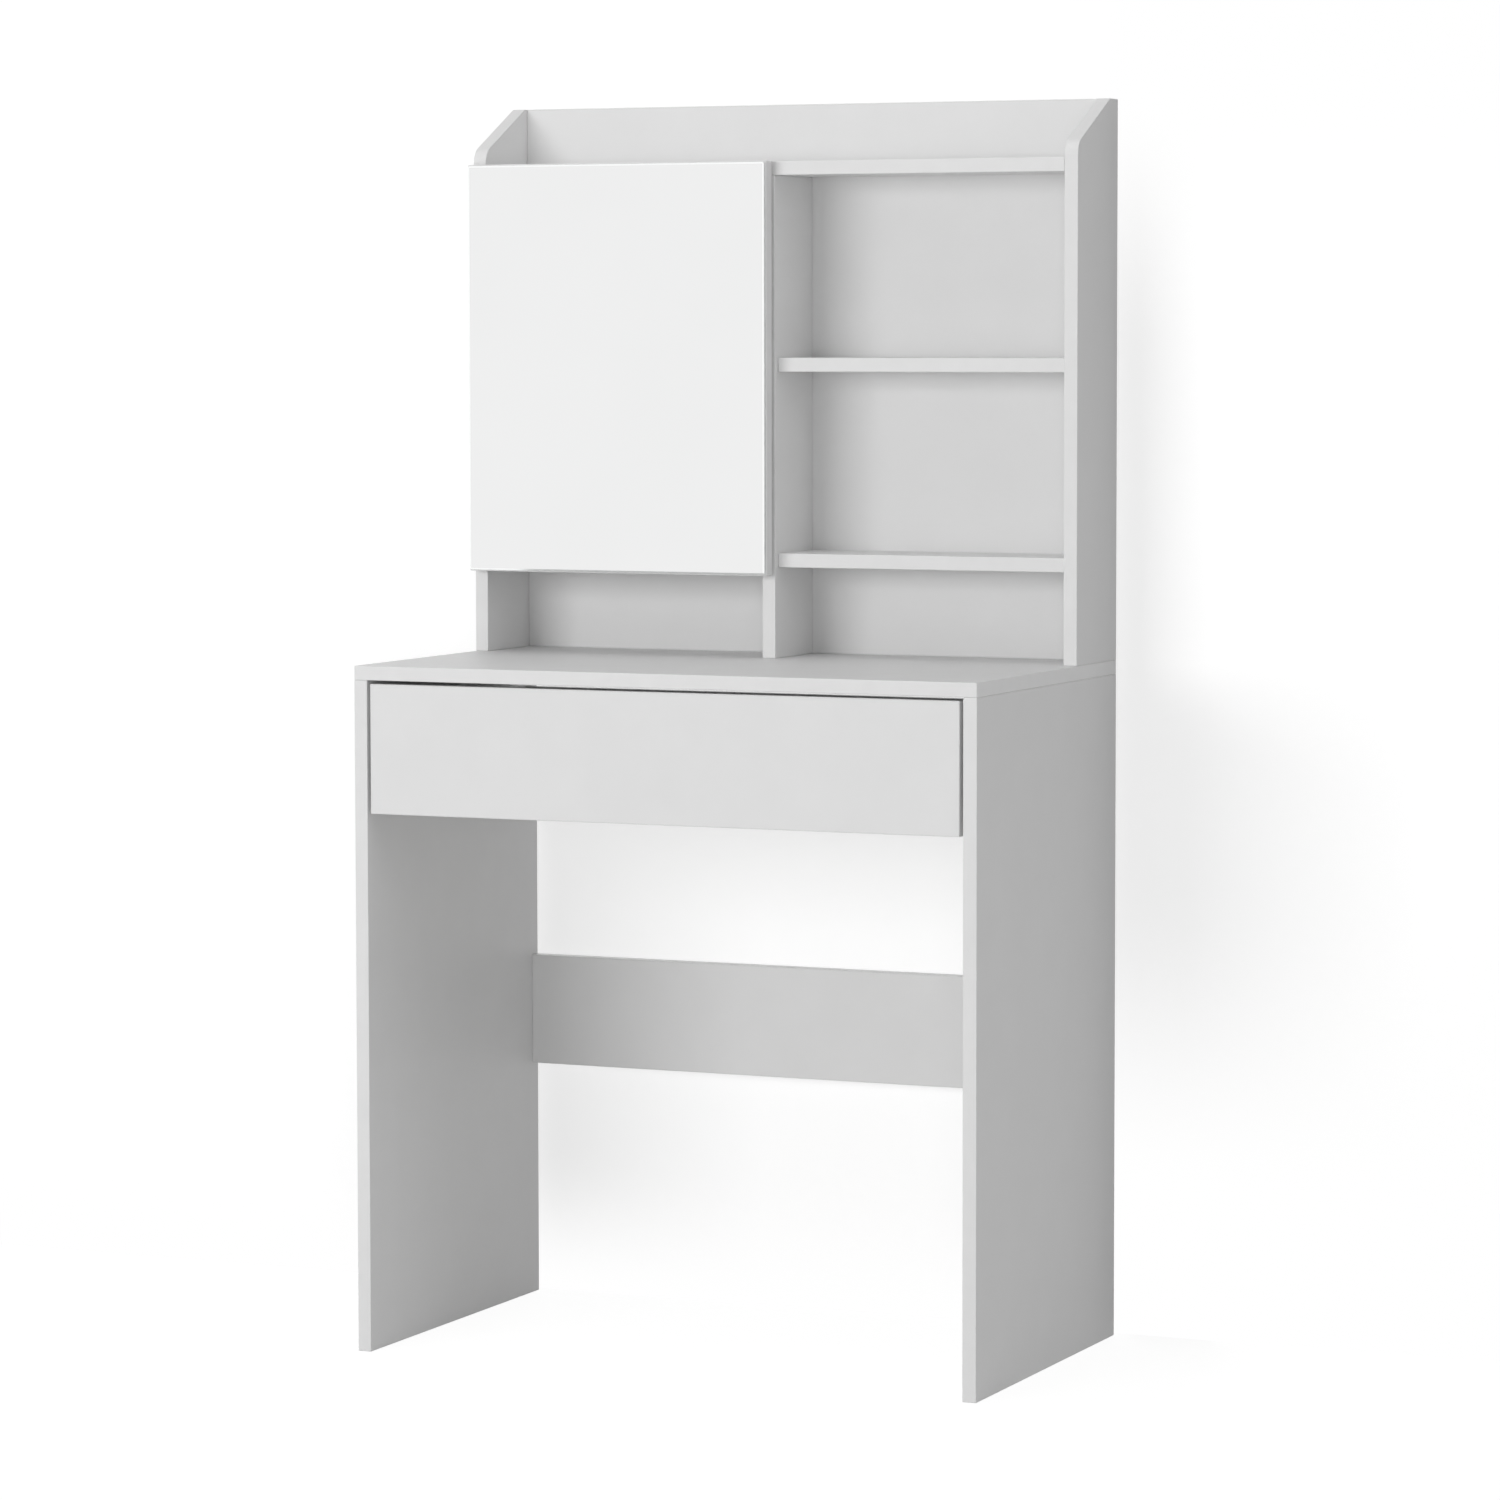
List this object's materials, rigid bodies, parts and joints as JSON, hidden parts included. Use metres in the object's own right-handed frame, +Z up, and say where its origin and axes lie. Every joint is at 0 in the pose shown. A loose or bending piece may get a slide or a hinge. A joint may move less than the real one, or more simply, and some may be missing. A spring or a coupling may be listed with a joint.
{
  "type": "dressing table",
  "caption": "White board dressing table: a desk with a full-width drawer under a shallow hutch with a mirror door, open shelves and a low top gallery.",
  "frame": {"origin": "on the floor, at the middle of the overall width and depth", "axes": "+X to the right of a person who faces the table, +Y from front to back, +Z up"},
  "size_m": [0.75, 0.43, 1.41],
  "materials": {
    "white_board": "satin white facing",
    "drawer_board": "satin white facing",
    "hardboard": "white lacquered",
    "beech": "raw",
    "mirror": "polished",
    "foam_tape": "matte",
    "zinc_alloy": "cast",
    "plated_steel": "nickel plated",
    "white_steel": "powder coated",
    "white_plastic": "moulded",
    "magnet": "ground",
    "nylon": "moulded"
  },
  "bodies": {
    "carcass": {"desk_top": "white_board", "desk_side_left": "white_board", "desk_side_right": "white_board", "modesty_rail": "white_board", "hutch_side_left": "white_board", "hutch_side_right": "white_board", "hutch_back_panel": "white_board", "hutch_top_shelf": "white_board", "hutch_divider": "white_board", "cupboard_floor": "white_board", "cupboard_shelf": "white_board", "shelf_right_lower": "white_board", "shelf_right_upper": "white_board", "cam_locks": "zinc_alloy", "cam_bolts": "plated_steel", "dowels": "beech", "hinge_arm_upper": "plated_steel", "hinge_arm_lower": "plated_steel", "hinge_plate_upper": "plated_steel", "hinge_plate_lower": "plated_steel", "catch_housing": "white_plastic", "catch_magnet": "magnet", "runner_case_left": "white_steel", "runner_case_right": "white_steel", "case_axles": "plated_steel"},
    "drawer": {"drawer_front": "white_board", "drawer_side_left": "drawer_board", "drawer_side_right": "drawer_board", "drawer_back": "drawer_board", "drawer_bottom": "hardboard", "runner_drawer_left": "white_steel", "runner_drawer_right": "white_steel", "drawer_axles": "plated_steel"},
    "mirror_door": {"door_panel": "white_board", "mirror_glass": "mirror", "mirror_tape": "foam_tape", "hinge_cup_upper": "plated_steel", "hinge_cup_lower": "plated_steel", "hinge_pin_upper": "plated_steel", "hinge_pin_lower": "plated_steel", "catch_strike": "plated_steel"},
    "case_roller_pair": {"case_rollers": "nylon"},
    "drawer_roller_pair": {"drawer_rollers": "nylon"}
  },
  "joints": [
    {"name": "drawer_slide", "type": "slide", "parent": "carcass", "child": "drawer", "axis": [0, -1, 0], "range_m": [0, 0.26]},
    {"name": "door_swing", "type": "hinge", "parent": "carcass", "child": "mirror_door", "pos_m": [-0.3635, 0.075, 1.1065], "axis": [0, 0, -1], "range_deg": [0, 95]},
    {"name": "case_rollers_turn", "type": "hinge", "parent": "carcass", "child": "case_roller_pair", "pos_m": [0, -0.18, 0.636], "axis": [1, 0, 0], "range_deg": [0, 1120]},
    {"name": "drawer_rollers_turn", "type": "hinge", "parent": "drawer", "child": "drawer_roller_pair", "pos_m": [0, 0.137, 0.636], "axis": [1, 0, 0], "range_deg": [0, 1400]}
  ],
  "couplings": [
    {"joint": "case_rollers_turn", "follows": "drawer_slide", "rad_per_m": 72.464},
    {"joint": "drawer_rollers_turn", "follows": "drawer_slide", "rad_per_m": 90.909}
  ]
}
